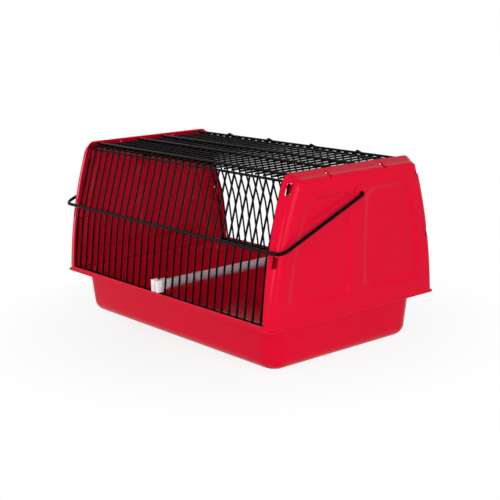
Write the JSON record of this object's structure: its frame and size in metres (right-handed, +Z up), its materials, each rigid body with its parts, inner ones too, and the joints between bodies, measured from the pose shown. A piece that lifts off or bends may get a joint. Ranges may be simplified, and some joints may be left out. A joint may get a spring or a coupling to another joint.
{
  "type": "bird travel carrier",
  "caption": "Small bird travel carrier with a plastic tray, dished plastic end panels, wire front, rear and hinged roof grilles, a perch and a swinging wire bail handle.",
  "frame": {"origin": "centre of the tray's flat underside, on the surface the carrier stands on", "axes": "+X along the length towards the right-hand end panel, -Y towards the front grille, +Z up"},
  "size_m": [0.3172, 0.1926, 0.1632],
  "materials": {
    "red_plastic": "moulded, semi-gloss",
    "black_wire": "black powder coat, satin",
    "white_plastic": "moulded, slightly translucent"
  },
  "bodies": {
    "tray": {"tray": "red_plastic"},
    "cage": {"left_panel": "red_plastic", "right_panel": "red_plastic", "front_uprights": "black_wire", "front_top_rail": "black_wire", "front_bottom_rail": "black_wire", "rear_uprights": "black_wire", "rear_top_rail": "black_wire", "rear_bottom_rail": "black_wire", "perch_rod": "white_plastic", "perch_front_clip": "white_plastic", "perch_rear_clip": "white_plastic"},
    "roof": {"roof_wires": "black_wire", "roof_front_rail": "black_wire", "roof_front_mid_rail": "black_wire", "roof_rear_mid_rail": "black_wire", "roof_rear_rail": "black_wire", "roof_hinge_clips": "black_wire"},
    "bail": {"bail_handle": "black_wire"}
  },
  "joints": [
    {"name": "cage_lift", "type": "slide", "parent": "tray", "child": "cage", "axis": [0, 0, 1], "range_m": [0, 0.06]},
    {"name": "roof_hinge", "type": "hinge", "parent": "cage", "child": "roof", "pos_m": [0, 0.06888, 0.1565], "axis": [-1, 0, 0], "range_deg": [0, 220]},
    {"name": "bail_swing", "type": "hinge", "parent": "cage", "child": "bail", "pos_m": [0, 0, 0.1405], "axis": [-1, 0, 0], "range_deg": [0, 224.6]}
  ]
}
